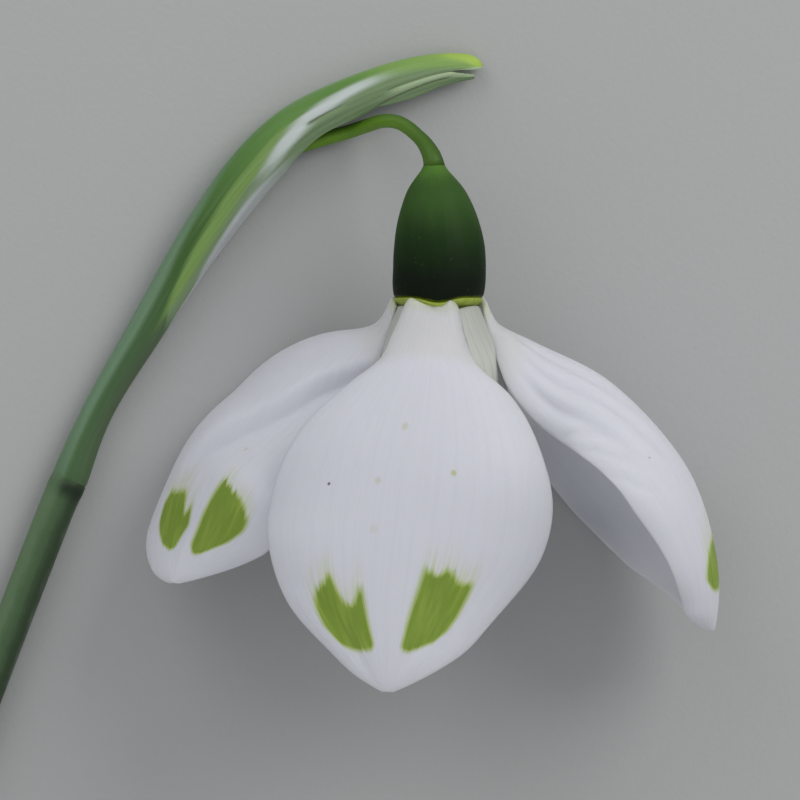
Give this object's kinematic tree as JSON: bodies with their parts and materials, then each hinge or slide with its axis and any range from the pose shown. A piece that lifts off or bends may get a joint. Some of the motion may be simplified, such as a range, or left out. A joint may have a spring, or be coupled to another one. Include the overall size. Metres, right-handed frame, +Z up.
{
  "type": "snowdrop flower",
  "caption": "Nodding snowdrop on a cut stem, lying on its side: spreading outer petals, short inner cup, egg-shaped ovary and a sheath that arches over it.",
  "frame": {"origin": "middle of the whole flower's underside, on the surface it lies on", "axes": "+Z up from the surface, -Y along the hanging flower from its ovary to the tips of its petals, +X across it, away from the stem"},
  "size_m": [0.0534, 0.0518, 0.0192],
  "materials": {
    "stem_green": "bloomed green stem, satin",
    "spathe_green": "green keels with pale translucent skin between, satin",
    "pedicel_green": "fresh yellow-green stalk, satin",
    "ovary_green": "deep green, soft sheen",
    "rim_green": "yellow-green, satin",
    "tepal_white": "cool white petal with fine ribs and green marks near the tip, satin",
    "inner_white": "greenish white petal, satin",
    "filament_white": "pale greenish white, satin",
    "anther_orange": "orange-yellow, dry"
  },
  "bodies": {
    "root": {"scape": "stem_green", "pedicel": "pedicel_green", "spathe": "spathe_green", "ovary": "ovary_green", "receptacle": "rim_green", "style": "filament_white", "outer_tepal_front": "tepal_white", "outer_tepal_left": "tepal_white", "outer_tepal_right": "tepal_white", "inner_tepal_a": "inner_white", "inner_tepal_b": "inner_white", "inner_tepal_c": "inner_white", "filament_1": "filament_white", "anther_1": "anther_orange", "filament_2": "filament_white", "anther_2": "anther_orange", "filament_3": "filament_white", "anther_3": "anther_orange", "filament_4": "filament_white", "anther_4": "anther_orange", "filament_5": "filament_white", "anther_5": "anther_orange", "filament_6": "filament_white", "anther_6": "anther_orange"}
  },
  "joints": []
}
